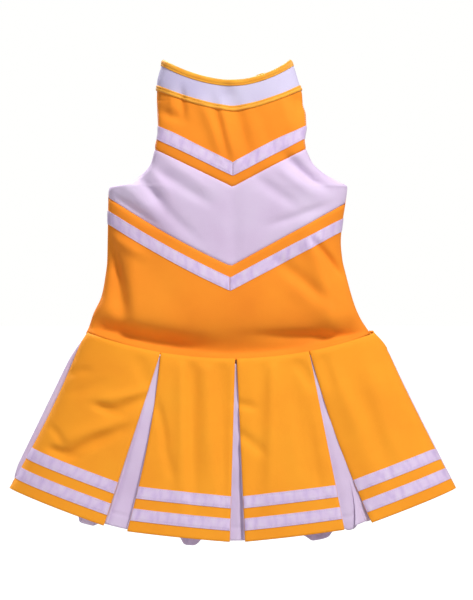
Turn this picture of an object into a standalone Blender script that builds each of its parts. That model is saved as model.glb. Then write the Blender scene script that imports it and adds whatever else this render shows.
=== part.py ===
"""A girl's cheer uniform: a sleeveless high-collared bodice sewn to a box-pleated skirt, with a back zip.

Frame: metres, +Z up. The dress hangs by its collar and faces -Y, so +X is on the right from the front.
The origin is the middle of the neck, level with the collar's base seam.

The bodice is one flattened tube. A place on it is (side, q, z): the front or back half, q from -1 at the
left side through 0 at the centre to +1 at the right side, and the height. The skirt is eight orange
pleats, each swinging from the waist seam, over eight white inserts.
"""

import bisect
import math

import bmesh
import bpy
from mathutils import Matrix, Vector

MM = 0.001
FRONT, BACK = -1, 1

# Cloth and trim
CLOTH = 1.2 * MM
INSERT_CLOTH = 1.6 * MM
LINING = 0.8 * MM
RIBBON_WIDTH = 14.5 * MM
RIBBON = 0.6 * MM
BRAID_WIDTH = 7.5 * MM
BRAID = 1.4 * MM
LAYER_GAP = 0.5 * MM
LINING_GAP = 1.2 * MM
BRAID_GAP = 0.4 * MM
SEAM_GAP = 1.2 * MM
SIDE_SEAM = 1.0 * MM
ON_CLOTH = CLOTH / 2 + LAYER_GAP
UNDER_CLOTH = -(CLOTH / 2 + LINING_GAP + LINING / 2)

# The bodice: half widths by height, and half depths
LEFT_OUTLINE = (
    (52, 85), (42, 88), (18, 93.5), (2, 93.5), (-19, 92.5), (-41, 91.5), (-56, 95), (-79, 100), (-94, 112),
    (-104, 130), (-110, 152.5), (-116, 154), (-176, 155), (-200, 155.5), (-225, 158.5), (-245, 162.5),
    (-268, 173), (-283, 178), (-300, 186),
)
RIGHT_OUTLINE = (
    (52, 70), (45, 75), (20, 83.5), (8, 87), (-6, 88), (-19, 91.5), (-34, 92), (-49, 90), (-64, 93),
    (-79, 99.5), (-94, 116), (-102, 131), (-109, 143.5), (-131, 141), (-161, 136.5), (-177, 135.5),
    (-200, 137.5), (-215, 141), (-245, 149), (-260, 154), (-275, 161), (-290, 171), (-300, 177),
)
FRONT_DEPTH = ((52, 27), (0, 31), (-110, 37), (-190, 34), (-300, 39), (-340, 40))
BACK_DEPTH = 34 * MM
SQUARENESS = 2.8
COLLAR_TOP, COLLAR_TOP_RISE = 24 * MM, 28 * MM
COLLAR_BASE, COLLAR_BASE_RISE = -11.5 * MM, 27 * MM
WAIST, WAIST_RISE = -325 * MM, 33 * MM

# The chevrons on the front: where each point is and how steeply it climbs to the sides
YOKE_POINT, YOKE_SLOPE = -110 * MM, 0.5
UPPER_RIBBON_POINT = -87.5 * MM
CHEST_POINT, CHEST_SLOPE = -208 * MM, 0.53
LOWER_RIBBON_POINT = -230 * MM

# The armholes
ARMHOLE_TOP, ARMHOLE_BOTTOM = -2 * MM, -110 * MM
ARMHOLE_HALF_OPEN = 17 * MM
FACING_WIDTH, FACING_DEPTH = 12 * MM, 0.32

# Where the back panels' rows of facets lie, closer together round the underarm
BACK_ROWS = (
    0, 0.05, 0.1, 0.2, 0.3, 0.4, 0.5, 0.56, 0.585, 0.6, 0.615, 0.63, 0.645, 0.67, 0.7, 0.74, 0.79, 0.84,
    0.89, 0.94, 1.0,
)

# The skirt: a waist ring and a hem ring, (left, right, front, back) half sizes
WAIST_RING = (184 * MM, 182 * MM, 41 * MM, 36 * MM)
HEM_RING = (277 * MM, 279 * MM, 74 * MM, 70 * MM)
WAIST_SQUARENESS, HEM_SQUARENESS = 2.8, 2.2
HEM, HEM_RISE, HEM_POWER = -546.5 * MM, 63 * MM, 2.1
SIDE_EDGE_AT_WAIST, SIDE_EDGE_AT_HEM = 4.5 * MM, 11 * MM
SKIRT_START, FRONT_HEM_END, BACK_HEM_END = 0.008, 1.0, 0.985
HIP_BOW = {FRONT: (-2 * MM, 5 * MM), BACK: (-2 * MM, 5 * MM)}
# Each pleat's left and right edge at the waist, then at the hem, in mm
PLEATS = {
    FRONT: ((-184, -89.5, -277, -158), (-87.5, 3.5, -128.5, -3), (6.5, 95, 16.5, 138), (98.5, 182, 172.5, 279)),
    BACK: ((-184, -91, -277, -188), (-88, -6, -160, -62), (6, 94, -34, 98), (97, 182, 126, 262)),
}
HEM_BAND, STRIPE = 13.5 * MM, 13 * MM
# Where a pleat's rows of facets lie, closer together near the waist
PLEAT_ROWS = (0, 0.13, 0.27, 0.42, 0.57, 0.71, 0.83, 0.92, 1.0)

# The inserts lie this far behind the pleats, and run this far behind them on each side
HIDDEN_AT_WAIST, HIDDEN_AT_HEM = 9 * MM, 22 * MM
RECESS_AT_WAIST, RECESS_AT_HEM = 3.2 * MM, 7 * MM
FRONT_INSERT_END, BACK_INSERT_END = 0.972, 1.03

# The back zip
ZIP_TOP, ZIP_BOTTOM = 13 * MM, -316 * MM
ZIP_GAP = 5.2 * MM
TAPE_WIDTH, TAPE_INNER = 13 * MM, 0.8 * MM
COIL_INNER, COIL_OUTER = 0.6 * MM, 2.8 * MM
SLIDER_AT = 7 * MM
SLIDER_HALF_WIDTH, SLIDER_LENGTH = 4.3 * MM, 9 * MM
PULL_WIDTH, PULL_LENGTH = 6.5 * MM, 22 * MM
PULL_AXIS = BACK_DEPTH + 3.9 * MM

COLOURS = {
    "orange_knit": ((0.91, 0.28, 0.015), 0.8, 0.0),
    "orange_pleat": ((0.95, 0.38, 0.02), 0.8, 0.0),
    "white_knit": ((0.80, 0.72, 0.86), 0.8, 0.0),
    "white_ribbon": ((0.82, 0.74, 0.90), 0.6, 0.0),
    "orange_braid": ((0.93, 0.42, 0.04), 0.6, 0.0),
    "lining": ((0.80, 0.76, 0.84), 0.9, 0.0),
    "zip_tape": ((0.85, 0.30, 0.03), 0.8, 0.0),
    "zip_coil": ((0.88, 0.33, 0.03), 0.45, 0.0),
    "metal": ((0.62, 0.60, 0.57), 0.3, 1.0),
}


def clear_scene():
    for old in list(bpy.data.objects):
        bpy.data.objects.remove(old)
    for name in ("cheer_uniform", "cutters"):
        collection = bpy.data.collections.new(name)
        bpy.context.scene.collection.children.link(collection)
    bpy.data.collections["cutters"].hide_render = True


def make_materials():
    for name, (colour, roughness, metallic) in COLOURS.items():
        material = bpy.data.materials.new(name)
        material.use_nodes = True
        shader = material.node_tree.nodes["Principled BSDF"]
        shader.inputs["Base Color"].default_value = (*colour, 1)
        shader.inputs["Roughness"].default_value = roughness
        shader.inputs["Metallic"].default_value = metallic


def mix(a, b, share):
    return a + (b - a) * share


def curve_through(points):
    """A smooth function through (height, size) points given in mm. It never overshoots a point."""
    heights, sizes = zip(*sorted(points))
    steps = [
        (sizes[i + 1] - sizes[i]) / (heights[i + 1] - heights[i]) for i in range(len(sizes) - 1)
    ]
    inner = [0 if a * b <= 0 else 2 * a * b / (a + b) for a, b in zip(steps, steps[1:])]
    slopes = [steps[0], *inner, steps[-1]]

    def size_at(z):
        height = min(max(z / MM, heights[0]), heights[-1])
        i = min(max(bisect.bisect_right(heights, height) - 1, 0), len(steps) - 1)
        span = heights[i + 1] - heights[i]
        t = (height - heights[i]) / span
        return MM * (
            (1 + 2 * t) * (1 - t) ** 2 * sizes[i]
            + t * (1 - t) ** 2 * span * slopes[i]
            + t * t * (3 - 2 * t) * sizes[i + 1]
            + t * t * (t - 1) * span * slopes[i + 1]
        )

    return size_at


left_width = curve_through(LEFT_OUTLINE)
right_width = curve_through(RIGHT_OUTLINE)
front_depth = curve_through(FRONT_DEPTH)


# The bodice's surface


def across(q):
    """How far across the half width q is, from -1 to 1. Even steps of q are finer near the sides."""
    share = 1 - max(0, 1 - abs(q)) ** 1.4
    return math.copysign(math.sin(share * math.pi / 2), q)


def q_of(c):
    """The q that lies this far across: the inverse of across."""
    share = math.asin(min(1, abs(c))) * 2 / math.pi
    return math.copysign(1 - (1 - share) ** (1 / 1.4), c)


def q_at(x, z):
    """The q of a place x across the bodice at this height."""
    return q_of(x / (left_width(z) if x < 0 else right_width(z)))


def half_opening(z):
    """How far each half of the bodice stands off the side line: a seam, or the open armhole."""
    share = (z - ARMHOLE_BOTTOM) / (ARMHOLE_TOP - ARMHOLE_BOTTOM)
    if not 0 < share < 1:
        return SIDE_SEAM / 2
    return SIDE_SEAM / 2 + ARMHOLE_HALF_OPEN * math.sin(math.pi * share) ** 0.8


def bodice_point(side, q, z, opening=None):
    opening = half_opening(z) if opening is None else opening
    c = across(q)
    bulge = max(0, 1 - abs(c) ** SQUARENESS) ** (1 / SQUARENESS)
    width = left_width(z) if c < 0 else right_width(z)
    depth = front_depth(z) if side == FRONT else BACK_DEPTH
    return Vector((width * c, side * (opening + (depth - opening) * bulge), z))


def arc(centre, rise, power):
    """An edge that climbs from the centre to both sides in a curve, as a height for each q."""
    return lambda q: centre + rise * abs(across(q)) ** power


def chevron(point, slope):
    """A straight V edge as a height for each q, found by halving, because the sides slope too."""

    def height(q):
        low, high = point, point + 0.2
        for _ in range(40):
            middle = (low + high) / 2
            width = left_width(middle) if q < 0 else right_width(middle)
            if middle - point > slope * abs(across(q)) * width:
                high = middle
            else:
                low = middle
        return low

    return height


def raised(edge, distance):
    return lambda q: edge(q) + distance


def bodice_cloth(side, lower, upper, q_from=-1, q_to=1):
    """The bodice between two edges, as a surface of (u, v), both from 0 to 1."""

    def surface(u, v):
        q = mix(q_from, q_to, u)
        return bodice_point(side, q, mix(lower(q), upper(q), v))

    return surface


def round_the_neck(lower, upper, back_gap):
    """A band round the tube that is open for back_gap on each side of the centre back."""
    end = 2 - q_at(back_gap, ZIP_TOP)

    def surface(u, v):
        turn = mix(-end, end, u)
        side = FRONT if abs(turn) <= 1 else BACK
        q = turn if side == FRONT else math.copysign(2, turn) - turn
        return bodice_point(side, q, mix(lower(q), upper(q), v), opening=0)

    return surface


collar_top = arc(COLLAR_TOP, COLLAR_TOP_RISE, 1.8)
collar_base = arc(COLLAR_BASE, COLLAR_BASE_RISE, 1.4)
waist = arc(WAIST, WAIST_RISE, 2)


# The skirt's surface


def ring_point(ring, squareness, side, q, edge):
    left, right, front, back = ring
    c = across(q)
    bulge = max(0, 1 - abs(c) ** squareness) ** (1 / squareness)
    depth = front if side == FRONT else back
    return Vector(((left if c < 0 else right) * c, side * (edge + (depth - edge) * bulge), 0))


def waist_point(side, q, edge):
    point = ring_point(WAIST_RING, WAIST_SQUARENESS, side, q, edge)
    point.z = waist(q)
    return point


def hem_point(side, q, edge):
    point = ring_point(HEM_RING, HEM_SQUARENESS, side, q, edge)
    point.z = HEM + HEM_RISE * abs(across(q)) ** HEM_POWER
    return point


def ring_q(x, ring):
    return q_of(x * MM / (ring[0] if x < 0 else ring[1]))


def pleat_qs(side, index):
    """The q of a pleat's left and right edge at the waist, then at the hem."""
    waist_left, waist_right, hem_left, hem_right = PLEATS[side][index]
    return (
        ring_q(waist_left, WAIST_RING),
        ring_q(waist_right, WAIST_RING),
        ring_q(hem_left, HEM_RING),
        ring_q(hem_right, HEM_RING),
    )


def fall(top, bottom, side, c, share):
    """The point at this share of the way down, with the hip's outward bow near the sides."""
    point = top.lerp(bottom, share)
    left_bow, right_bow = HIP_BOW[side]
    bow = left_bow if c < 0 else right_bow
    point.x += math.copysign(bow, c) * abs(c) ** 6 * 4 * share * max(0, 1 - share) ** 1.6 * 1.3
    return point


def pleat_cloth(side, index, lower=None, upper=None):
    """One pleat as a surface of (u, v), v from 0 at the hem to 1 at the waist.

    lower and upper are distances above the hem along the pleat; without them it is the whole pleat.
    """
    wa, wb, ha, hb = pleat_qs(side, index)
    end = FRONT_HEM_END if side == FRONT else BACK_HEM_END

    def surface(u, v):
        top = waist_point(side, mix(wa, wb, u), SIDE_EDGE_AT_WAIST)
        bottom = hem_point(side, mix(ha, hb, u), SIDE_EDGE_AT_HEM)
        length = (bottom - top).length
        low = end if lower is None else end - lower / length
        high = SKIRT_START if upper is None else end - upper / length
        return fall(top, bottom, side, across(mix(ha, hb, u)), mix(low, high, v))

    return surface


# Turning surfaces into solids


def link(obj, material=None, cutter=False):
    bpy.data.collections["cutters" if cutter else "cheer_uniform"].objects.link(obj)
    if cutter:
        obj.hide_render = True
        obj.display_type = "WIRE"
    if material:
        obj.data.materials.append(bpy.data.materials[material])
    return obj


def normal_at(surface, u, v, outward):
    """The surface's outward normal, from its slopes either side of the place."""
    step = 1e-3
    across_u = surface(min(1, u + step), v) - surface(max(0, u - step), v)
    across_v = surface(u, min(1, v + step)) - surface(u, max(0, v - step))
    normal = across_u.cross(across_v).normalized()
    return normal if normal.dot(outward) >= 0 else -normal


def sheet(name, material, surface, columns, rows, thickness, offset=0.0, closed=False):
    """A solid sheet of cloth: a grid laid on the surface, moved offset outwards, and thickened.

    rows is how many even rows the grid has, or the v of every row's edge.
    """
    levels = rows if isinstance(rows, tuple) else tuple(k / rows for k in range(rows + 1))
    last = len(levels) - 1
    bm = bmesh.new()
    bmesh.ops.create_grid(bm, x_segments=columns, y_segments=last, size=0.5)
    for vertex in bm.verts:
        u, v = vertex.co.x + 0.5, levels[round((vertex.co.y + 0.5) * last)]
        place = surface(u, v)
        outward = Vector((place.x, place.y * 3, 0))
        vertex.co = place + normal_at(surface, u, v, outward) * offset
    if closed:
        bmesh.ops.remove_doubles(bm, verts=bm.verts, dist=0.01 * MM)
    mesh = bpy.data.meshes.new(name)
    bm.to_mesh(mesh)
    bm.free()
    obj = link(bpy.data.objects.new(name, mesh), material)
    solidify = obj.modifiers.new("thickness", "SOLIDIFY")
    solidify.thickness = thickness
    solidify.offset = 0
    mesh.shade_smooth()
    mesh.set_sharp_from_angle(angle=math.radians(40))
    return obj


def box(name, low, high, material=None, bevel=0.0, cutter=False):
    """A box between two corners."""
    low, high = Vector(low), Vector(high)
    bm = bmesh.new()
    bmesh.ops.create_cube(bm, size=1)
    bmesh.ops.scale(bm, verts=bm.verts, vec=high - low)
    mesh = bpy.data.meshes.new(name)
    bm.to_mesh(mesh)
    bm.free()
    obj = link(bpy.data.objects.new(name, mesh), material, cutter)
    obj.location = (low + high) / 2
    if bevel:
        modifier = obj.modifiers.new("edges", "BEVEL")
        modifier.width = bevel
        modifier.segments = 1
    return obj


def rod(name, centre, radius, length, cutter=True):
    """A cylinder along X."""
    bm = bmesh.new()
    turn = Matrix.Rotation(math.pi / 2, 4, "Y")
    bmesh.ops.create_cone(
        bm, cap_ends=True, segments=16, radius1=radius, radius2=radius, depth=length, matrix=turn
    )
    mesh = bpy.data.meshes.new(name)
    bm.to_mesh(mesh)
    bm.free()
    obj = link(bpy.data.objects.new(name, mesh), cutter=cutter)
    obj.location = centre
    return obj


def combine(obj, other, operation):
    modifier = obj.modifiers.new(other.name, "BOOLEAN")
    modifier.operation = operation
    modifier.object = other


def wire(name, points, radius, material):
    """A round wire bent through the points."""
    curve = bpy.data.curves.new(name, "CURVE")
    curve.dimensions = "3D"
    curve.bevel_depth = radius
    curve.bevel_resolution = 1
    curve.use_fill_caps = True
    spline = curve.splines.new("POLY")
    spline.points.add(len(points) - 1)
    for target, point in zip(spline.points, points):
        target.co = (*point, 1)
    return link(bpy.data.objects.new(name, curve), material)


def pivot(name, place, axis=Vector((1, 0, 0))):
    """An empty on a joint, with its X along the joint's axis."""
    empty = link(bpy.data.objects.new(name, None))
    empty.matrix_world = Matrix.Translation(place) @ axis.to_track_quat("X", "Z").to_matrix().to_4x4()
    return empty


def hang_on(empty, *objects):
    for obj in objects:
        obj.parent = empty
        obj.matrix_parent_inverse = empty.matrix_world.inverted()


# The garment, piece by piece


def make_collar():
    band_top = raised(collar_top, -0.5 * MM)
    band_base = raised(collar_base, SEAM_GAP / 2)
    sheet("collar_band", "white_knit", round_the_neck(band_base, band_top, ZIP_GAP), 56, 2, CLOTH)
    lining = round_the_neck(
        raised(collar_base, 2 * MM), raised(collar_top, -2 * MM), TAPE_INNER + TAPE_WIDTH + 1.5 * MM
    )
    sheet("collar_lining", "lining", lining, 48, 1, LINING, UNDER_CLOTH)
    trims = {
        "collar_top_braid": (raised(collar_top, -BRAID_WIDTH + 0.6 * MM), raised(collar_top, 0.6 * MM)),
        "collar_base_braid": (
            raised(collar_base, -BRAID_WIDTH / 2),
            raised(collar_base, BRAID_WIDTH / 2),
        ),
    }
    for name, (lower, upper) in trims.items():
        surface = round_the_neck(lower, upper, ZIP_GAP + 0.4 * MM)
        sheet(name, "orange_braid", surface, 56, 1, BRAID, ON_CLOTH + BRAID / 2 + BRAID_GAP)


def make_front():
    yoke_edge, chest_edge = chevron(YOKE_POINT, YOKE_SLOPE), chevron(CHEST_POINT, CHEST_SLOPE)
    half = SEAM_GAP / 2
    panels = {
        "front_yoke": (raised(yoke_edge, half), raised(collar_base, -half), "orange_knit", 7),
        "front_chest_panel": (raised(chest_edge, half), raised(yoke_edge, -half), "white_knit", 14),
        "front_body_panel": (raised(waist, half), raised(chest_edge, -half), "orange_knit", 10),
    }
    for name, (lower, upper, material, rows) in panels.items():
        sheet(name, material, bodice_cloth(FRONT, lower, upper), 24, rows, CLOTH)


def make_chevron_ribbons():
    for level, point, slope in (
        ("upper", UPPER_RIBBON_POINT, YOKE_SLOPE),
        ("lower", LOWER_RIBBON_POINT, CHEST_SLOPE),
    ):
        half = RIBBON_WIDTH / 2 / math.cos(math.atan(slope))
        middle = chevron(point, slope)
        mitre = q_at(0.3 * MM, point)
        for hand, q_from, q_to in (("left", -0.985, -mitre), ("right", mitre, 0.985)):
            surface = bodice_cloth(FRONT, raised(middle, -half), raised(middle, half), q_from, q_to)
            name = f"{level}_chevron_ribbon_{hand}"
            sheet(name, "white_ribbon", surface, 10, 1, RIBBON, ON_CLOTH + RIBBON / 2)


def make_back():
    half = SEAM_GAP / 2
    lower, upper = raised(waist, half), raised(collar_base, -half)
    edge = q_at(ZIP_GAP, ZIP_TOP)
    for name, q_from, q_to in (("back_panel_left", -1, -edge), ("back_panel_right", edge, 1)):
        surface = bodice_cloth(BACK, lower, upper, q_from, q_to)
        sheet(name, "orange_knit", surface, 12, BACK_ROWS, CLOTH)


def armhole_ring(hand):
    """The facing inside an armhole: u runs round the opening, v from its edge on to the cloth."""
    middle = (ARMHOLE_TOP + ARMHOLE_BOTTOM) / 2
    half = (ARMHOLE_TOP - ARMHOLE_BOTTOM) / 2

    def surface(u, v):
        angle = 2 * math.pi * u
        side = FRONT if math.sin(angle) >= 0 else BACK
        z = middle + (half + 1 * MM + FACING_WIDTH * 0.6 * v) * math.cos(angle)
        inset = FACING_DEPTH * mix(0.1, 1, v) * abs(math.sin(angle))
        return bodice_point(side, hand * (1 - inset), z)

    return surface


def make_facings():
    for name, hand in (("armhole_facing_left", -1), ("armhole_facing_right", 1)):
        sheet(name, "lining", armhole_ring(hand), 36, 2, LINING, UNDER_CLOTH - 1.2 * MM, closed=True)
    tape = round_the_neck(
        raised(waist, 2.5 * MM), raised(waist, 10.5 * MM), TAPE_INNER + TAPE_WIDTH + 1.5 * MM
    )
    sheet("waist_stay_tape", "lining", tape, 48, 1, LINING, UNDER_CLOTH)


def make_pleat(side, index):
    """A pleat with its two hem ribbons, on a hinge along the waist seam."""
    label = f"{'front' if side == FRONT else 'back'}_pleat_{index + 1}"
    cloth = pleat_cloth(side, index)
    panel = sheet(f"{label}_panel", "orange_pleat", cloth, 6, PLEAT_ROWS, CLOTH)
    lower = HEM_BAND + RIBBON_WIDTH + STRIPE
    bands = {
        "lower": (HEM_BAND, HEM_BAND + RIBBON_WIDTH),
        "upper": (lower, lower + RIBBON_WIDTH),
    }
    ribbons = [
        sheet(
            f"{label}_{level}_ribbon",
            "white_ribbon",
            pleat_cloth(side, index, low, high),
            6,
            1,
            RIBBON,
            ON_CLOTH + RIBBON / 2,
        )
        for level, (low, high) in bands.items()
    ]
    place, axis = pleat_hinge(side, cloth)
    hang_on(pivot(f"{label}_hinge", place, axis), panel, *ribbons)


def pleat_hinge(side, cloth):
    """A place on the hinge and its axis, along the waist edge where that edge stands furthest out."""
    left, right = cloth(0, 1), cloth(1, 1)
    axis = (right - left).normalized() * side
    outward = Vector((0, 0, 1)).cross(axis).normalized()
    outward *= math.copysign(1, outward.y * side)
    furthest = max((cloth(k / 20, 1) for k in range(21)), key=lambda p: p.dot(outward))
    middle = (left + right) / 2
    return middle + outward * (furthest - middle).dot(outward), axis


def insert_cloth(side, left_qs, right_qs, end):
    """The white cloth behind the gap between two pleats. Its edges are tucked behind both."""

    def widened(a, b, ring, hidden):
        spread = hidden / (ring[2] + ring[0]) * 1.25
        return a - spread, b + spread

    wa, wb = widened(left_qs[1], right_qs[0], WAIST_RING, HIDDEN_AT_WAIST)
    ha, hb = widened(left_qs[3], right_qs[2], HEM_RING, HIDDEN_AT_HEM)

    def surface(u, v):
        top = waist_point(side, mix(wa, wb, u), SIDE_EDGE_AT_WAIST)
        bottom = hem_point(side, mix(ha, hb, u), SIDE_EDGE_AT_HEM)
        share = mix(end, 0.02, v)
        point = fall(top, bottom, side, across(mix(ha, hb, u)), share)
        inward = Vector((-point.x * 0.25, -point.y, 0)).normalized()
        return point + inward * mix(RECESS_AT_WAIST, RECESS_AT_HEM, share)

    return surface


def side_insert_cloth(hand, bulge):
    """The white cloth that joins a front and a back pleat round a side.

    u runs from behind the front pleat to behind the back one, and bulge is how far the middle stands
    out beyond the pleats' edges at the hem.
    """

    def surface(u, v):
        turn = 2 * u - 1
        side = FRONT if turn < 0 else BACK
        share = mix(0.99, 0.02, v)
        q = hand * (1 - 0.4 * abs(turn))
        point = fall(waist_point(side, q, 0), hem_point(side, q, 0), side, across(q), share)
        between = max(0, 1 - (turn / 0.3) ** 2)
        point.y *= 0.45
        point.x += hand * (mix(-RECESS_AT_WAIST, bulge, share) * between - 1.5 * MM * (1 - share))
        return point

    return surface


def make_inserts():
    for side, label, end in ((FRONT, "front", FRONT_INSERT_END), (BACK, "back", BACK_INSERT_END)):
        for i in range(3):
            surface = insert_cloth(side, pleat_qs(side, i), pleat_qs(side, i + 1), end)
            sheet(f"{label}_insert_{i + 1}", "white_knit", surface, 6, PLEAT_ROWS, INSERT_CLOTH)
    for name, hand, bulge in (("side_insert_left", -1, 6 * MM), ("side_insert_right", 1, -2 * MM)):
        surface = side_insert_cloth(hand, bulge)
        sheet(name, "white_knit", surface, 20, PLEAT_ROWS, INSERT_CLOTH)


def make_zip():
    y = BACK_DEPTH
    for hand_name, hand in (("left", -1), ("right", 1)):
        spans = {
            f"zip_tape_{hand_name}": (
                (TAPE_INNER, TAPE_INNER + TAPE_WIDTH),
                (y - 2.4 * MM, y - 1.6 * MM),
                (ZIP_BOTTOM - 3 * MM, ZIP_TOP + 4 * MM),
                "zip_tape",
                0,
            ),
            f"zip_coil_{hand_name}": (
                (COIL_INNER, COIL_OUTER),
                (y - 1.3 * MM, y + 1.1 * MM),
                (ZIP_BOTTOM + 0.3 * MM, ZIP_TOP - 0.3 * MM),
                "zip_coil",
                0.6 * MM,
            ),
            f"zip_top_stop_{hand_name}": (
                (COIL_INNER - 0.1 * MM, COIL_OUTER + 0.1 * MM),
                (y - 1.3 * MM, y + 1.4 * MM),
                (ZIP_TOP, ZIP_TOP + 2.5 * MM),
                "metal",
                0.3 * MM,
            ),
        }
        for name, (xs, ys, zs, material, bevel) in spans.items():
            near, far = sorted(hand * x for x in xs)
            box(name, (near, ys[0], zs[0]), (far, ys[1], zs[1]), material, bevel)
    box(
        "zip_bottom_stop",
        (-COIL_OUTER, y - 1.3 * MM, ZIP_BOTTOM - 2.5 * MM),
        (COIL_OUTER, y + 1.4 * MM, ZIP_BOTTOM),
        "metal",
        0.3 * MM,
    )
    hang_on(pivot("zip_slider_rail", Vector((0, y, SLIDER_AT)), Vector((0, 0, -1))), make_slider(y))
    hang_on(pivot("zip_pull_hinge", Vector((0, PULL_AXIS, SLIDER_AT))), make_pull())


def make_slider(y):
    """Two plates joined by a wedge that runs between the coils, with an arch that holds the pull."""
    half, length = SLIDER_HALF_WIDTH, SLIDER_LENGTH
    low, high = SLIDER_AT - length / 2, SLIDER_AT + length / 2
    slider = box("zip_slider_body", (-half, y + 1.6 * MM, low), (half, y + 2.8 * MM, high), "metal", 0.4 * MM)
    joined = [
        box("inner_plate", (-half, y - 4.2 * MM, low), (half, y - 3 * MM, high), cutter=True),
        box(
            "wedge",
            (-0.35 * MM, y - 3.5 * MM, high - 3 * MM),
            (0.35 * MM, y + 2.2 * MM, high - 0.4 * MM),
            cutter=True,
        ),
        box(
            "arch",
            (-0.6 * MM, y + 2.5 * MM, SLIDER_AT - 2.6 * MM),
            (0.6 * MM, y + 5.3 * MM, SLIDER_AT + 2.6 * MM),
            cutter=True,
        ),
    ]
    for hand in (-1, 1):
        near, far = sorted((hand * (half - 1 * MM), hand * (half - 0.05 * MM)))
        joined.append(
            box(
                f"lip_{hand}",
                (near, y - 0.4 * MM, low + 0.5 * MM),
                (far, y + 2.2 * MM, high - 0.5 * MM),
                cutter=True,
            )
        )
    for piece in joined:
        combine(slider, piece, "UNION")
    eye = rod("arch_eye", (0, PULL_AXIS, SLIDER_AT), 0.95 * MM, 4 * MM)
    combine(slider, eye, "DIFFERENCE")
    return slider


def make_pull():
    """A flat tab whose top bar passes through the slider's arch."""
    half_bar = 0.45 * MM
    pull = box(
        "zip_pull_tab",
        (-PULL_WIDTH / 2, PULL_AXIS - half_bar, SLIDER_AT - PULL_LENGTH),
        (PULL_WIDTH / 2, PULL_AXIS + half_bar, SLIDER_AT + half_bar),
        "metal",
        0.3 * MM,
    )
    window = box(
        "pull_window",
        (-1.4 * MM, PULL_AXIS - 2 * MM, SLIDER_AT - 6 * MM),
        (1.4 * MM, PULL_AXIS + 2 * MM, SLIDER_AT - half_bar),
        cutter=True,
    )
    combine(pull, window, "DIFFERENCE")
    return pull


def make_hook_and_eye():
    """The closure above the zip: a bent wire hook that reaches across to a wire eye."""
    radius = 0.4 * MM
    for name, hand, y, half_height in (
        ("neck_hook", -1, BACK_DEPTH - 1.6 * MM, 1.4 * MM),
        ("neck_eye", 1, BACK_DEPTH - 2.9 * MM, 0.9 * MM),
    ):
        z = COLLAR_TOP - 3.2 * MM
        far, near = hand * 10 * MM, -hand * 1.2 * MM
        corner = near + hand * 0.8 * MM
        wire(
            name,
            [
                (far, y, z - half_height),
                (corner, y, z - half_height),
                (near, y, z - half_height * 0.4),
                (near, y, z + half_height * 0.4),
                (corner, y, z + half_height),
                (far, y, z + half_height),
            ],
            radius,
            "metal",
        )


def main():
    clear_scene()
    make_materials()
    make_collar()
    make_front()
    make_chevron_ribbons()
    make_back()
    make_facings()
    for side in (FRONT, BACK):
        for index in range(len(PLEATS[side])):
            make_pleat(side, index)
    make_inserts()
    make_zip()
    make_hook_and_eye()


main()
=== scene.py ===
"""The looks of the cheer uniform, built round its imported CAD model.

Frame: metres, +Z up, the dress hangs by its collar and faces -Y. Lists of places on the cloth are in mm,
as (x, z) seen from the front.
"""

import math

import bpy
import numpy as np
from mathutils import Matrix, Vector


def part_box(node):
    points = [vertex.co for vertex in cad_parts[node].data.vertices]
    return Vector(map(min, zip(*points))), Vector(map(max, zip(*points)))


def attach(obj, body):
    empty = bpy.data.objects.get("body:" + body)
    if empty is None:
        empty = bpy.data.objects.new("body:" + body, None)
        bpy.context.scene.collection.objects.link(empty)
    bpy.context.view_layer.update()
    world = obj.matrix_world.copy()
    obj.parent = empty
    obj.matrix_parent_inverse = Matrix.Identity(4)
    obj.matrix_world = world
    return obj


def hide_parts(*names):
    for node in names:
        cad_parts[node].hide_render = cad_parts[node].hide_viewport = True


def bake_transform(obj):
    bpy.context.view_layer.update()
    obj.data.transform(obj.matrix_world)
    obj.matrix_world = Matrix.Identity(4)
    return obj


MM = 0.001
FRONT, BACK = -1, 1
CLOTH, THIN_CLOTH, TRIM = 1.0 * MM, 0.7 * MM, 0.5 * MM
COLLAR_HALF, CHEST_HALF, BODY_HALF = 93.5 * MM, 120 * MM, 160 * MM
ZIP_GAP = 5.0 * MM
EYE_HEIGHT, EYE_SIDE, EYE_DISTANCE = -0.25, 0.0056, 4.0
VIEW_HEIGHT = 0.75

# The bodice's half widths by height, in mm
LEFT_OUTLINE = (
    (52, 85), (42, 88), (18, 93.5), (2, 93.5), (-19, 92.5), (-41, 91.5), (-56, 95), (-79, 100), (-94, 112),
    (-104, 130), (-110, 152.5), (-116, 154), (-176, 155), (-200, 155.5), (-225, 158.5), (-245, 162.5),
    (-268, 173), (-283, 178), (-300, 186), (-320, 190),
)
RIGHT_OUTLINE = (
    (52, 70), (45, 75), (20, 83.5), (8, 87), (-6, 88), (-19, 91.5), (-34, 92), (-49, 90), (-64, 93),
    (-79, 99.5), (-94, 116), (-102, 131), (-109, 143.5), (-131, 141), (-161, 136.5), (-177, 135.5),
    (-200, 137.5), (-215, 141), (-245, 149), (-260, 154), (-275, 161), (-290, 171), (-300, 177),
    (-320, 182),
)
FRONT_DEPTH = ((52, 27), (0, 31), (-110, 37), (-190, 34), (-270, 39), (-305, 36), (-340, 37))
BACK_DEPTH = 34 * MM
SQUARENESS = 2.8
ARMHOLE_TOP, ARMHOLE_BOTTOM, ARMHOLE_HALF_OPEN = -2 * MM, -110 * MM, 17 * MM

# The skirt's waist and hem rings: left, right, front, back half sizes
WAIST_RING = (184 * MM, 182 * MM, 41 * MM, 36 * MM)
HEM_RING = (277 * MM, 279 * MM, 74 * MM, 70 * MM)
WAIST_SQUARENESS, HEM_SQUARENESS = 2.8, 2.2
HEM, HEM_RISE, HEM_POWER = -546.5 * MM, 63 * MM, 2.1
EDGE_AT_WAIST, EDGE_AT_HEM = 4.5 * MM, 11 * MM
# The skirt's outline stands out this far just under the waist, at its left and right
HIP_SHARE = 0.09
HIP_BOW = {FRONT: (0.8 * MM, 2.2 * MM), BACK: (-2 * MM, 1.5 * MM)}
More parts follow.
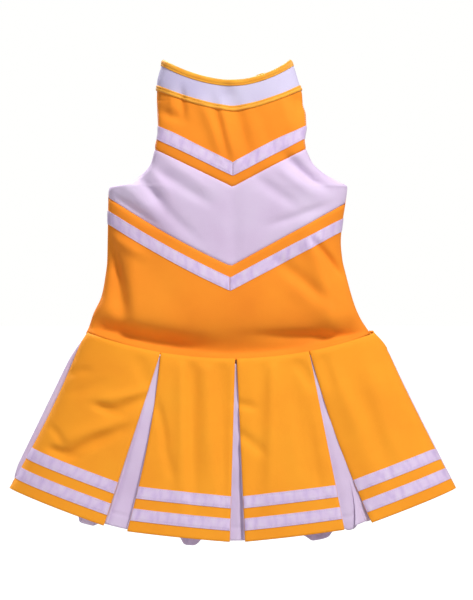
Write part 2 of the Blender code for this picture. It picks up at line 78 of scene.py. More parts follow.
# Each pleat's left and right ends at the waist, then at the hem, in mm
PLEATS = {
    FRONT: (
        (-184, -89.5, -277, -158), (-88.2, 3.5, -128.5, -3), (6.3, 95.6, 16.5, 138), (97.2, 182, 172.5, 279),
    ),
    BACK: ((-184, -91, -277, -188), (-88, -6, -160, -62), (6, 94, -34, 98), (97, 182, 126, 262)),
}
# Heights above the hem of each pleat, and how far a ribbon's stitching is from its edges
SEAM_INSET = 1.5 * MM
HEM_BAND, STRIPE, RIBBON = 13.5 * MM, 13 * MM, 14.5 * MM
# Where the inserts' hems hang lower: (x, half width) in mm, and how far as a share of the skirt
HEM_DROPS = {
    FRONT: ((146, 7, 0.02), (160, 4, -0.03)),
    BACK: ((-180, 14, 0.042), (-52, 12, 0.050), (-116, 6, 0.02), (108, 20, 0.050), (90, 8, -0.02)),
}
# How far a front pleat's left edge bows towards the right half-way down, in mm
EDGE_BOW = {(FRONT, 0): 6.0, (FRONT, 1): 5.0, (FRONT, 3): -5.0}

# Folds: (x, z) from, (x, z) to, half width, depth (minus stands out), all in mm
YOKE_FOLDS = (
    (-62, 6, -60, -16, 5, 3.4), (-92, -14, -70, -24, 7, 4.4), (-74, 0, -74, -20, 5, -1.4),
    (-34, -14, -16, -62, 8, -3.2), (-20, -20, -8, -62, 5, 2.6), (-12, -14, 2, -66, 6, -3.8),
    (4, -14, 16, -58, 8, 3.4), (82, 4, 88, -16, 5, 4.0), (62, -4, 72, -30, 9, -2.0),
    (34, -16, 46, -56, 9, 1.2),
)
CHEST_FOLDS = (
    (-112, -98, -92, -124, 6, 4.4), (-92, -128, -54, -166, 7, 1.6), (-104, -84, -84, -112, 6, -2.0),
    (-86, -92, -40, -124, 7, 2.2), (-72, -84, -36, -108, 7, -1.6), (-142, -124, -100, -156, 6, 3.0),
    (-140, -104, -104, -134, 7, -2.0), (76, -78, 108, -102, 7, 7.5), (64, -90, 96, -114, 7, -2.0),
    (40, -104, 70, -128, 7, 2.4), (58, -152, 108, -136, 6, 2.0), (2, -124, 3, -204, 10, 1.6),
)
BODY_FOLDS = (
    (-150, -178, -146, -214, 6, 4.0), (-148, -206, -138, -262, 11, 8.0), (-146, -176, -118, -190, 7, -3.0),
    (-126, -196, -122, -262, 10, -2.0), (106, -184, 140, -218, 5, 5.6), (100, -186, 130, -284, 13, -6.0),
    (68, -212, 108, -242, 8, 4.2), (80, -236, 118, -276, 12, -2.4), (44, -294, 166, -294, 7, 4.2),
    (-150, -288, -52, -306, 12, 6.6), (-104, -206, -70, -262, 16, 1.2),
)
PLEAT_FOLDS = (
    (-164, -383, -144, -387, 5, 5.2), (-144, -387, -112, -370, 5, 4.6), (-156, -372, -118, -366, 7, -3.4),
    (-220, -436, -198, -440, 5, 5.4), (-198, -440, -164, -424, 6, 5.6), (-164, -424, -134, -408, 6, 4.0),
    (-204, -424, -150, -406, 8, -3.4), (-197, -342, -182, -338, 5, 2.6), (-193, -363, -165, -355, 7, 2.0),
    (-222, -412, -212, -424, 5, 2.2), (-112, -330, -104, -350, 8, 2.6),
    (-91, -384, -84, -424, 5, 3.4), (-50, -335, -46, -470, 7, 3.4), (-64, -335, -62, -480, 8, -2.6),
    (-34, -335, -30, -450, 9, -3.0), (-14, -332, -10, -480, 7, 3.2), (-84, -436, -76, -462, 6, 2.0),
    (8, -376, 24, -382, 5, 3.4), (10, -416, 32, -434, 6, 3.4), (36, -334, 30, -480, 9, 2.0),
    (48, -334, 46, -470, 8, -2.4), (84, -330, 96, -352, 6, 3.4), (78, -360, 92, -460, 9, 2.0),
    (96, -400, 108, -480, 6, 1.8), (122, -396, 176, -532, 15, 4.2), (208, -330, 270, -456, 7, 4.6),
    (134, -352, 152, -400, 9, -2.2), (158, -360, 186, -440, 10, 2.4), (176, -350, 206, -440, 10, -2.0),
    (112, -326, 122, -352, 6, 3.0),
)
BACK_FOLDS = (
    (-120, -90, -60, -150, 9, 2.4), (118, -92, 62, -146, 9, 2.4), (-150, -190, -130, -270, 10, 3.4),
    (132, -180, 120, -262, 10, 3.0), (-70, -30, -46, -90, 8, 1.6), (64, -26, 40, -84, 8, 1.6),
    (-90, -220, -40, -262, 12, 1.6), (96, -214, 44, -256, 12, 1.6), (-60, -150, -30, -180, 9, 1.2),
)
BACK_PLEAT_FOLDS = (
    (-200, -350, -222, -450, 8, 2.4), (-120, -340, -132, -470, 9, 2.2), (-50, -340, -74, -470, 8, 2.0),
    (44, -340, 40, -480, 9, 2.4), (130, -340, 150, -460, 9, 2.2), (190, -340, 220, -430, 8, 2.4),
    (-160, -370, -130, -380, 7, 1.6), (90, -380, 60, -392, 7, 1.6),
)


def mix(a, b, share):
    return a + (b - a) * share


def unit(vectors):
    """The same directions, each one long."""
    return vectors / np.maximum(np.linalg.norm(vectors, axis=-1, keepdims=True), 1e-12)


def curve_through(points):
    """A smooth function through (height, size) points in mm, sampled every half millimetre."""
    heights, sizes = (np.array(x, float) for x in zip(*sorted(points)))
    span = np.diff(heights)
    steps = np.diff(sizes) / span
    both = steps[:-1] * steps[1:]
    inner = np.where(both <= 0, 0, 2 * both / np.where(both <= 0, 1, steps[:-1] + steps[1:]))
    slopes = np.concatenate((steps[:1], inner, steps[-1:]))
    at = np.arange(heights[0], heights[-1], 0.5)
    i = np.searchsorted(heights, at, "right") - 1
    t, h = (at - heights[i]) / span[i], span[i]
    value = (1 + 2 * t) * (1 - t) ** 2 * sizes[i] + t * (1 - t) ** 2 * h * slopes[i]
    value += t * t * (3 - 2 * t) * sizes[i + 1] + t * t * (t - 1) * h * slopes[i + 1]
    return lambda z: np.interp(z, at * MM, value * MM)


left_width, right_width = curve_through(LEFT_OUTLINE), curve_through(RIGHT_OUTLINE)
front_depth = curve_through(FRONT_DEPTH)


# The surfaces, as arrays of places


def across(q):
    """How far across the half width q is, from -1 to 1. Even steps of q are finer near the sides."""
    share = 1 - np.maximum(0, 1 - np.abs(q)) ** 1.4
    return np.sign(q) * np.sin(share * np.pi / 2)


def q_of(c):
    share = np.arcsin(np.minimum(1, np.abs(c))) * 2 / np.pi
    return np.sign(c) * (1 - (1 - share) ** (1 / 1.4))


def half_width(c, z):
    return np.where(c < 0, left_width(z), right_width(z))


def half_opening(z):
    """How far each half of the bodice stands off the side line: a seam, or the open armhole."""
    share = np.clip((z - ARMHOLE_BOTTOM) / (ARMHOLE_TOP - ARMHOLE_BOTTOM), 0, 1)
    return 0.3 * MM + ARMHOLE_HALF_OPEN * np.maximum(0, np.sin(np.pi * share)) ** 0.8


def swell(c, squareness):
    return np.maximum(0, 1 - np.abs(c) ** squareness) ** (1 / squareness)


def bodice(side, q, z, closed=False):
    opening = 0 * z if closed else half_opening(z)
    c = across(q)
    depth = np.where(side == FRONT, front_depth(z), BACK_DEPTH)
    y = side * (opening + (depth - opening) * swell(c, SQUARENESS))
    return np.stack((half_width(c, z) * c, y, z), -1)


def ring(sizes, squareness, side, q, edge):
    c = across(q)
    depth = sizes[2] if side == FRONT else sizes[3]
    x = np.where(c < 0, sizes[0], sizes[1]) * c
    return x, side * (edge + (depth - edge) * swell(c, squareness))


def collar_top(q):
    return 22 * MM + 27 * MM * np.abs(across(q)) ** 1.7


def collar_base(q):
    return -11.8 * MM + 27 * MM * np.abs(across(q)) ** 1.5


def waist(q):
    return -325 * MM + 33 * MM * across(q) ** 2


def skirt(side, q_top, q_bottom, share, edge=(EDGE_AT_WAIST, EDGE_AT_HEM)):
    """A place on the flared skirt, share of the way from the waist to the hem."""
    tx, ty = ring(WAIST_RING, WAIST_SQUARENESS, side, q_top, edge[0])
    bx, by = ring(HEM_RING, HEM_SQUARENESS, side, q_bottom, edge[1])
    c = across(q_bottom)
    bow = np.where(c < 0, *HIP_BOW[side]) * np.sign(c) * np.abs(c) ** 6
    x = mix(tx, bx, share) + bow * (share / HIP_SHARE) * np.exp(1 - share / HIP_SHARE)
    z = mix(waist(q_top), HEM + HEM_RISE * np.abs(c) ** HEM_POWER, share)
    return np.stack((x, mix(ty, by, share), z), -1)


def chevron(point, apex, left, right):
    """A V edge as a height for each q. left and right are (slope, how it steepens) away from the apex."""

    def height(q):
        low = np.full(np.shape(q), point - 5 * MM)
        high = np.full(np.shape(q), point + 0.2)
        c = across(q)
        for _ in range(24):
            middle = (low + high) / 2
            out = c * half_width(c, middle) - apex
            slope, bend = np.where(out < 0, left[0], right[0]), np.where(out < 0, left[1], right[1])
            above = middle - point > np.abs(out) * (slope + bend * np.abs(out))
            low, high = np.where(above, low, middle), np.where(above, middle, high)
        return low

    return height


yoke_edge = chevron(-110 * MM, 1 * MM, (0.485, 0), (0.55, -0.3))
upper_ribbon = chevron(-87.8 * MM, 1 * MM, (0.495, 0), (0.555, -0.4))
chest_edge = chevron(-208 * MM, -1.5 * MM, (0.455, 0.66), (0.545, 0))
lower_ribbon = chevron(-230.5 * MM, -2 * MM, (0.45, 0.66), (0.535, 0))


def raised(edge, distance):
    return lambda q: edge(q) + distance


# Folds


def folded(places, folds):
    """How far the cloth is pushed in at each place, from a list of folds."""
    x, z = places[..., 0] / MM, places[..., 2] / MM
    depth = np.zeros(x.shape)
    for x0, z0, x1, z1, width, amount in folds:
        dx, dz = x1 - x0, z1 - z0
        length = math.hypot(dx, dz)
        along = ((x - x0) * dx + (z - z0) * dz) / length
        off = ((x - x0) * dz - (z - z0) * dx) / length
        past = np.maximum(0, np.maximum(-along, along - length) + 0.2 * length)
        wander = 1.5 * np.sin(along / (0.6 * length) + x0)
        near = np.exp(-(((off - wander) / width) ** 2) - (past / (0.3 * length + width)) ** 2)
        depth += amount * near
    return depth * MM


def ripple(places, size, seed):
    """A smooth unevenness between -1 and 1, from a few crossing waves."""
    x, y, z = (places[..., k] / size for k in range(3))
    return (
        np.sin(1.7 * x + 0.9 * z + seed)
        + np.sin(-1.1 * x + 1.9 * z + 2.3 * seed + y)
        + np.sin(0.6 * x - 2.6 * z + 4.1 * seed)
        + np.sin(2.9 * x + 0.3 * z + 1.3 * seed - y)
    ) / 4


def smooth_step(low, high, value):
    t = np.clip((value - low) / (high - low), 0, 1)
    return t * t * (3 - 2 * t)


def front_relief(places):
    x, z = places[..., 0], places[..., 2]
    fold = folded(places, YOKE_FOLDS + CHEST_FOLDS + BODY_FOLDS)
    pinch = np.exp(-(((x - 1 * MM) / (9 * MM)) ** 2)) * smooth_step(0.001, 0.02, z)
    above_waist = z - (-325 * MM + 33 * MM * (x / (175 * MM)) ** 2)
    hollow = np.exp(-(((above_waist - 11 * MM) / (17 * MM)) ** 2))
    roll = np.exp(-(((above_waist - 2 * MM) / (4 * MM)) ** 2))
    return -fold + MM * (3.6 * pinch - 8.5 * hollow + 6.0 * roll + 0.35 * ripple(places, 0.03, 1))


def back_relief(places):
    calm = smooth_step(0.008, 0.03, np.abs(places[..., 0]))
    return calm * (-folded(places, BACK_FOLDS) + 0.7 * MM * ripple(places, 0.035, 5))


def bodice_place(side, q, z, out, closed=False):
    """Places on the bodice out metres off its surface, folds and all, and their outward normals."""
    side = side + 0 * q
    base = bodice(side, q, z, closed)
    dq, dz = 2e-3, 0.4 * MM
    a = bodice(side, np.minimum(q + dq, 1), z, closed) - bodice(side, np.maximum(q - dq, -1), z, closed)
    b = bodice(side, q, z + dz, closed) - bodice(side, q, z - dz, closed)
    normal = unit(np.cross(a, b))
    facing = normal[..., 0] * base[..., 0] + 3 * normal[..., 1] * base[..., 1]
    normal *= np.where(facing < 0, -1, 1)[..., None]
    relief = np.where(side == FRONT, front_relief(base), back_relief(base))
    calm = 1 - np.abs(across(q)) ** mix(26, 10, smooth_step(-0.14, -0.11, z))
    return base + normal * (relief * calm + out)[..., None], normal


# Meshes


def add_object(name, data):
    obj = bpy.data.objects.new(name, data)
    bpy.context.scene.collection.objects.link(obj)
    return obj


def link(name, mesh, material, body="dress", replaces=()):
    """A piece of the dress that rides on a body. One that stands for a CAD node is named after it."""
    obj = add_object(f"{name}_cloth" if replaces else name, mesh)
    mesh.materials.append(material)
    if body:
        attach(obj, body)
    if replaces:
        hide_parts(*replaces)
    return obj


def grid_uv(places):
    """Distances along the cloth from its middle, in metres, as UVs."""
    step_u = np.linalg.norm(np.diff(places, axis=1), axis=-1)
    step_v = np.linalg.norm(np.diff(places, axis=0), axis=-1)
    u = np.concatenate((np.zeros((len(places), 1)), np.cumsum(step_u, 1)), 1)
    u -= u[:, [places.shape[1] // 2]]
    v = np.concatenate((np.zeros((1, places.shape[1])), np.cumsum(step_v, 0)), 0)
    return np.stack((u, v), -1)


def cloth_mesh(name, places, normals, thickness):
    """A closed sheet with rounded edges on a grid of places, with UVs in metres."""
    rows, columns = places.shape[:2]
    uv = grid_uv(places)
    offset = normals * thickness / 2
    index = np.arange(rows * columns).reshape(rows, columns)
    rim = np.concatenate((index[0, :-1], index[:-1, -1], index[-1, :0:-1], index[:0:-1, 0]))
    flat = places.reshape(-1, 3)
    after, before = np.roll(rim, -1), np.roll(rim, 1)
    along = flat[after] - flat[before]
    outward = unit(np.cross(along, normals.reshape(-1, 3)[rim]))
    centre = flat.mean(0)
    if np.sum(outward * (flat[rim] - centre)) < 0:
        outward = -outward
    lip_points = flat[rim] + outward * thickness * 0.45
    points = np.concatenate(((places + offset).reshape(-1, 3), (places - offset).reshape(-1, 3), lip_points))
    count, edge = rows * columns, len(rim)
    a, b = index[:-1, :-1].ravel(), index[:-1, 1:].ravel()
    c, d = index[1:, 1:].ravel(), index[1:, :-1].ravel()
    top = np.stack((a, b, c, d), 1)
    k = np.arange(edge)
    k1 = (k + 1) % edge
    lip = 2 * count
    upper = np.stack((rim[k1], rim[k], lip + k, lip + k1), 1)
    lower = np.stack((lip + k1, lip + k, rim[k] + count, rim[k1] + count), 1)
    faces = np.concatenate((top, top[:, ::-1] + count, upper, lower))
    uvs = np.concatenate((uv.reshape(-1, 2), uv.reshape(-1, 2), uv.reshape(-1, 2)[rim]))
    if np.sum(np.cross(flat[b[0]] - flat[a[0]], flat[d[0]] - flat[a[0]]) * normals[0, 0]) < 0:
        faces = faces[:, ::-1]
    return make_mesh(name, points, faces, uvs)


def make_mesh(name, points, faces, uvs=None):
    mesh = bpy.data.meshes.new(name)
    count, corners = len(faces), faces.shape[1]
    mesh.vertices.add(len(points))
    mesh.vertices.foreach_set("co", np.ascontiguousarray(points, np.float32).ravel())
    mesh.loops.add(count * corners)
    mesh.loops.foreach_set("vertex_index", np.ascontiguousarray(faces, np.int32).ravel())
    mesh.polygons.add(count)
    mesh.polygons.foreach_set("loop_start", np.arange(count, dtype=np.int32) * corners)
    mesh.polygons.foreach_set("use_smooth", np.ones(count, bool))
    mesh.update(calc_edges=True)
    if uvs is not None:
        layer = mesh.uv_layers.new(name="UVMap")
        layer.data.foreach_set("uv", np.ascontiguousarray(uvs[faces.ravel()], np.float32).ravel())
    mesh.validate()
    return mesh


def bodice_piece(
    name, material, slot, side, lower, upper, q_from, q_to, size, out=0.0, thickness=CLOTH, dip=(0, 0)
):
    """A piece of the bodice between two edges. dip is how far its lower and upper seams pull it in.

    A ribbon has few rows, closer together near its edges, and its seams are narrow grooves.
    """
    columns, rows = size
    ribbon = rows < 30
    u, v = np.linspace(0, 1, columns + 1), np.linspace(0, 1, rows + 1)
    v = v - 0.9 * np.sin(2 * np.pi * v) / (2 * np.pi) if ribbon else v
    q = np.broadcast_to(mix(q_from, q_to, u), (rows + 1, columns + 1))
    low, high = lower(q[0]), upper(q[0])
    z = low + (high - low) * v[:, None]
    off = out
    for amount, away in zip(dip, (z - low, high - z)):
        if ribbon:
            groove = np.exp(-(((away - SEAM_INSET) / (0.7 * MM)) ** 2))
            off = off - amount * (0.5 * np.exp(-away / (0.8 * MM)) + groove)
        else:
            off = off - amount * (0.6 * np.exp(-away / (1.2 * MM)) + 0.4 * np.exp(-away / (5 * MM)))
    places, normals = bodice_place(side, q, z, off)
    return link(name, cloth_mesh(name, places, normals, thickness), material, replaces=[name])


# Materials


def material(name, colour, roughness, metallic=0.0, sheen=0.0, coat=0.0):
    """A Principled material. Returns it, a function that adds nodes, its links and its shader."""
    made = bpy.data.materials.new(name)
    made.use_nodes = True
    tree = made.node_tree
    shader = tree.nodes["Principled BSDF"]
    shader.inputs["Base Color"].default_value = (*colour, 1)
    shader.inputs["Roughness"].default_value = roughness
    shader.inputs["Metallic"].default_value = metallic
    shader.inputs["Sheen Weight"].default_value = sheen
    shader.inputs["Sheen Roughness"].default_value = 0.5
    shader.inputs["Coat Weight"].default_value = coat
    shader.inputs["Specular IOR Level"].default_value = 0.35

    def node(kind, links=(), **values):
        new = tree.nodes.new(kind)
        for key, value in values.items():
            if key in new.inputs:
                new.inputs[key].default_value = value
            else:
                setattr(new, key, value)
        for key, socket in dict(links).items():
            tree.links.new(socket, new.inputs[key])
        return new

    return made, node, tree.links, shader


def scaled(node, kind, scale, turn=0.0):
    """UV or Object places, turned and stretched."""
    source = node("ShaderNodeTexCoord").outputs[kind]
    mapping = node("ShaderNodeMapping", {"Vector": source})
    mapping.inputs["Scale"].default_value = scale
    mapping.inputs["Rotation"].default_value = (0, 0, turn)
    return mapping.outputs["Vector"]


def noise(node, vector, detail):
    return node("ShaderNodeTexNoise", {"Vector": vector}, Scale=1.0, Detail=detail).outputs["Fac"]


def bump_from(node, links, shader, heights, distance):
    """Adds the heights, given as (socket, weight), into one bump."""
    total = None
    for socket, weight in heights:
        part = node("ShaderNodeMath", {0: socket}, operation="MULTIPLY")
        part.inputs[1].default_value = weight
        if total is None:
            total = part.outputs[0]
        else:
            total = node("ShaderNodeMath", {0: total, 1: part.outputs[0]}, operation="ADD").outputs[0]
    bump = node("ShaderNodeBump", {"Height": total}, Strength=1.0, Distance=distance)
    links.new(bump.outputs[0], shader.inputs["Normal"])


def varied_colour(node, links, shader, colours, factor):
    """Colours laid along factor, from 0 to 1."""
    ramp = node("ShaderNodeValToRGB", {"Fac": factor})
    elements = ramp.color_ramp.elements
    for _ in range(len(colours) - 2):
        elements.new(0.5)
    for k, (element, colour) in enumerate(zip(elements, colours)):
        element.position = 0.28 + 0.44 * k / (len(colours) - 1)
        element.color = (*colour, 1)
    links.new(ramp.outputs["Color"], shader.inputs["Base Color"])


def knit(name, colours, roughness=0.82, sheen=0.12, wale=0.9 * MM, depth=0.12 * MM, patch=14):
    """A smooth double knit: fine wales, finer courses and a soft unevenness in the dye."""
    made, node, links, shader = material(name, colours[0], roughness, sheen=sheen)
    shader.inputs["Sheen Tint"].default_value = (*(min(1, c * 1.2 + 0.1) for c in colours[-1]), 1)
    fine = scaled(node, "UV", (0.314 / wale, 0.314 / wale, 1))
    wales = node("ShaderNodeTexWave", {"Vector": fine}, wave_profile="SIN", Scale=1.0, Distortion=0.6)
    wales.inputs["Detail Scale"].default_value = 0.6
    courses = node("ShaderNodeTexWave", {"Vector": fine}, bands_direction="Y", Scale=1.35, Distortion=0.8)
    fuzz = noise(node, scaled(node, "UV", (900, 900, 1)), 3.0)
    soft = noise(node, scaled(node, "Object", (patch,) * 3), 4.0)
    speck = node("ShaderNodeMath", {0: fuzz}, operation="MULTIPLY_ADD")
    speck.inputs[1].default_value = 0.35
    speck.inputs[2].default_value = -0.175
    both = node("ShaderNodeMath", {0: soft, 1: speck.outputs[0]}, operation="ADD")
    varied_colour(node, links, shader, colours, both.outputs[0])
    heights = ((wales.outputs["Fac"], 0.6), (courses.outputs["Fac"], 0.3), (fuzz, 0.5))
    bump_from(node, links, shader, heights, depth)
    return made


def satin(name, colours, roughness=0.42):
    """Satin ribbon: threads along its length, soft slanting pucker bumps, and painted shade and highlight
    along them.
    """
    made, node, links, shader = material(name, colours[0], roughness, sheen=0.15)
    shader.inputs["Specular IOR Level"].default_value = 0.5
    shader.inputs["Anisotropic"].default_value = 0.4
    pucker_height_and_shade = noise(node, scaled(node, "UV", (110, 60, 1), 0.6), 1.5)
    threads = node("ShaderNodeTexWave", {"Vector": scaled(node, "UV", (1, 700, 1))}, bands_direction="Y")
    threads.inputs["Scale"].default_value = 1.0
    cross = node("ShaderNodeTexWave", {"Vector": scaled(node, "UV", (500, 1, 1))}, Scale=1.0)
    # painted shade and highlight: the colour goes from dark to light with the pucker height
    varied_colour(node, links, shader, colours, pucker_height_and_shade)
    heights = ((pucker_height_and_shade, 2.4), (threads.outputs["Fac"], 0.3), (cross.outputs["Fac"], 0.15))
    bump_from(node, links, shader, heights, 0.25 * MM)
    return made


def corded(name, colours):
    """Braid: slanting cords packed side by side."""
    made, node, links, shader = material(name, colours[0], 0.55, sheen=0.2)
    cords = node("ShaderNodeTexWave", {"Vector": scaled(node, "UV", (330, 330, 1), 0.6)}, Distortion=0.3)
    cords.inputs["Scale"].default_value = 1.0
    soft = noise(node, scaled(node, "UV", (60, 200, 1)), 3.0)
    varied_colour(node, links, shader, colours, soft)
    bump_from(node, links, shader, ((cords.outputs["Fac"], 1.0), (soft, 0.6)), 0.2 * MM)
    return made


def smooth_metal(name, colour, roughness=0.28):
    """Plated metal with fine scratches."""
    made, node, links, shader = material(name, colour, roughness, metallic=1.0)
    scratches = noise(node, scaled(node, "Object", (900, 900, 4000)), 3.0)
    brighter = tuple(min(1, c * 1.18) for c in colour)
    varied_colour(node, links, shader, (colour, brighter), scratches)
    bump_from(node, links, shader, ((scratches, 1.0),), 0.02 * MM)
    return made


def make_looks():
    """Every look by name. Each has two or three shades, from dark to light."""
    orange = ((0.87, 0.240, 0.010), (0.92, 0.270, 0.012), (0.94, 0.292, 0.014))
    # painted light: the skirt's orange is the bodice's orange made lighter and yellower, for the brighter
    # light on the skirt
    skirt_orange_painted_lighter = ((0.90, 0.310, 0.011), (0.94, 0.340, 0.013), (0.95, 0.360, 0.015))
    white = ((0.64, 0.50, 0.72), (0.69, 0.56, 0.78), (0.71, 0.60, 0.80))
    return {
        "bodice": knit("bodice_knit", orange),
        "skirt": knit("pleat_knit", skirt_orange_painted_lighter),
        "white": knit("white_knit", white),
        "collar": knit("collar_knit", ((0.54, 0.49, 0.73), (0.60, 0.55, 0.77), (0.63, 0.59, 0.79))),
        # the ribbon's shades, dark to light, are painted shade and highlight along its pucker bumps
        "ribbon": satin("white_satin", ((0.60, 0.45, 0.76), (0.70, 0.55, 0.82), (0.74, 0.62, 0.84))),
        "braid": corded("gold_braid", ((0.86, 0.31, 0.015), (0.94, 0.40, 0.025), (0.96, 0.46, 0.035))),
        "lining": knit(
            "facing_cloth", ((0.66, 0.62, 0.74), (0.74, 0.70, 0.80)), wale=0.5 * MM, depth=0.06 * MM
        ),
        "tape": knit("zip_tape_cloth", ((0.80, 0.24, 0.015), (0.88, 0.28, 0.02)), wale=0.45 * MM),
        "nylon": corded("nylon_coil", ((0.82, 0.26, 0.015), (0.90, 0.31, 0.02))),
        "thread": corded("white_thread", ((0.78, 0.66, 0.84), (0.84, 0.74, 0.88))),
        "orange_thread": corded("orange_thread", ((0.90, 0.30, 0.015), (0.93, 0.38, 0.02))),
        "metal": smooth_metal("nickel", (0.62, 0.60, 0.57)),
    }


# Stitching


def stitches(name, lines, look, body, pitch=3.0 * MM, length=2.1 * MM, radius=0.24 * MM):
    """Rows of sewn stitches as one piece. Each line is places along it and the cloth's normals there."""
    # Each ring of a stitch: where it is along the stitch, how wide and how high, as shares
    rings = ((-0.5, 0.3, -0.6), (-0.24, 1.0, 0.25), (0.24, 1.0, 0.25), (0.5, 0.3, -0.6))
    points, faces = [], []
    for places, normals in lines:
        run = np.concatenate(((0,), np.cumsum(np.linalg.norm(np.diff(places, axis=0), axis=-1))))
        at = np.arange(pitch / 2, run[-1] - pitch / 3, pitch)
        centre = np.stack([np.interp(at, run, places[:, k]) for k in range(3)], -1)
        ahead = np.stack([np.interp(at + 0.5 * MM, run, places[:, k]) for k in range(3)], -1)
        normal = unit(np.stack([np.interp(at, run, normals[:, k]) for k in range(3)], -1))
        along = unit(ahead - centre)
        side = np.cross(along, normal)
        block = []
        for where, wide, high in rings:
            for a, b in ((1, 0), (0, 1), (-1, 0), (0, -1)):
                round_it = (side * a + normal * b) * wide * radius
                block.append(centre + along * where * length + round_it + normal * high * radius)
        block = np.stack(block, 1)
        start = sum(len(p) for p in points) + 16 * np.arange(len(at))[:, None]
        quads = [
            (4 * r + k, 4 * r + (k + 1) % 4, 4 * r + 4 + (k + 1) % 4, 4 * r + 4 + k)
            for r in range(3)
            for k in range(4)
        ] + [(3, 2, 1, 0), (12, 13, 14, 15)]
        faces.append((start[:, :, None] + np.array(quads)[None]).reshape(-1, 4))
        points.append(block.reshape(-1, 3))
    points, faces = np.concatenate(points), np.concatenate(faces)
    uvs = points[:, (0, 2)]
    return link(name, make_mesh(name, points, faces, uvs), look, body)


# The bodice


def neck_rows(rows, back_gap, columns):
    """Places round the neck. Each row is (share of the way up the collar, dz, out)."""
    end = 2 - float(q_of(np.array(back_gap / COLLAR_HALF)))
    turn = np.linspace(-end, end, columns + 1)
    side = np.where(np.abs(turn) <= 1, FRONT, BACK)
    q = np.where(side == FRONT, turn, np.sign(turn) * 2 - turn)
    x = half_width(turn, 0.04 + 0 * turn) * across(q)
    crease, crease_half = 34 * MM, 12 * MM
    lift = np.where(side == BACK, 5.5 * MM * np.exp(-(((x - crease) / crease_half) ** 2)), 0)
    z, out = [], []
    for share, dz, off in rows:
        z.append(mix(collar_base(q), collar_top(q) + lift, share) + dz)
        out.append(off + 0 * q)
    z, out = np.array(z), np.array(out)
    return bodice_place(np.broadcast_to(side, z.shape), np.broadcast_to(q, z.shape), z, out, closed=True)


def neck_piece(name, look, rows, back_gap, thickness):
    places, normals = neck_rows(rows, back_gap, 220)
    return link(name, cloth_mesh(name, places, normals, thickness), look, replaces=[name])


def make_collar(looks):
    band = [(share, -0.3 * MM * (1 - share), 0.0) for share in np.linspace(0, 1, 14)]
    neck_piece("collar_band", looks["collar"], band, ZIP_GAP, CLOTH)
    lining = [(share, 0.0, -1.9 * MM) for share in np.linspace(0.06, 0.93, 8)]
    neck_piece("collar_lining", looks["lining"], lining, 15 * MM, THIN_CLOTH)
    # The braid's section folded over the collar's edge: (share up the collar, dz, out), in mm
    over = [(1, -6.8, 0.75), (1, -6.2, 1.25), (1, -5.4, 1.25), (1, -4.9, 0.9), (1, -4.4, 1.35)]
    over += [(1, -3, 1.75), (1, -1.2, 1.75), (1, 0.2, 1.4), (1, 1.0, 0.4), (1, 0.9, -1.2)]
    over += [(1, -0.2, -2.4), (1, -2.5, -2.9), (1, -5, -2.8)]
    scaled_rows = [(edge, dz * MM, out * MM) for edge, dz, out in over]
    neck_piece("collar_top_braid", looks["braid"], scaled_rows, 5.4 * MM, TRIM)
    flat = [(2.6, 0.6), (2.2, 1.3), (1.2, 1.5), (0.5, 0.95), (-0.1, 0.95), (-0.6, 1.5), (-2.4, 1.7)]
    flat += [(-3.4, 1.3), (-3.8, 0.6)]
    rows = [(0, dz * MM, out * MM) for dz, out in flat]
    neck_piece("collar_base_braid", looks["braid"], rows, 5.4 * MM, TRIM)
    lines = []
    for edge, dz in ((1, -4.9), (0, -2.2)):
        places, normals = neck_rows([(edge, dz * MM, 1.25 * MM)], 6 * MM, 400)
        lines.append((places[0], normals[0]))
    stitches("collar_stitching", lines, looks["orange_thread"], "dress")


def make_front(looks):
    half = 0.15 * MM
    above_waist = raised(waist, 0.6 * MM)
    panels = {
        "front_yoke": (raised(yoke_edge, half), raised(collar_base, -half), "bodice", (120, 60)),
        "front_chest_panel": (raised(chest_edge, half), raised(yoke_edge, -half), "white", (130, 80)),
        "front_body_panel": (above_waist, raised(chest_edge, -half), "bodice", (130, 80)),
    }
    for name, (lower, upper, look, size) in panels.items():
        slot = "white_knit" if look == "white" else "orange_knit"
        dip = (0.2 * MM, 1.8 * MM) if name == "front_body_panel" else (1.6 * MM, 1.4 * MM)
        bodice_piece(name, looks[look], slot, FRONT, lower, upper, -1, 1, size, dip=dip)


def make_chevron_ribbons(looks):
    lines = []
    for level, middle, apex in (("upper", upper_ribbon, 1 * MM), ("lower", lower_ribbon, -2 * MM)):
        half = RIBBON / 2 / math.cos(math.atan(0.51))
        centre = float(q_of(np.array(apex / CHEST_HALF)))
        gap = float(q_of(np.array(0.35 * MM / CHEST_HALF)))
        for hand, q_from, q_to in (("left", -0.993, centre - gap), ("right", centre + gap, 0.993)):
            name = f"{level}_chevron_ribbon_{hand}"
            edges = raised(middle, -half), raised(middle, half)
            bodice_piece(
                name, looks["ribbon"], "white_ribbon", FRONT, *edges, q_from, q_to, (110, 18), 1.1 * MM, TRIM,
                dip=(0.35 * MM, 0.35 * MM),
            )
            q = np.linspace(q_from, q_to, 160)
            for dz in (-half + SEAM_INSET, half - SEAM_INSET):
                lines.append(bodice_place(FRONT, q, middle(q) + dz, 1.25 * MM))
    stitches("chevron_stitching", lines, looks["thread"], "dress")


def inset_line(side, hand, distance, out):
    """A line that keeps a distance along the cloth from the armhole's edge."""
    z = np.linspace(ARMHOLE_TOP - 2 * MM, ARMHOLE_BOTTOM + 3 * MM, 160)[:, None]
    q = hand * np.linspace(1, 0.4, 240)[None] + 0 * z
    places, _ = bodice_place(side, q, z + 0 * q, out)
    away = np.linalg.norm(places - places[:, :1], axis=-1)
    pick = np.argmax(away > distance, axis=1)
    return bodice_place(side, q[np.arange(len(z)), pick], z[:, 0], out)


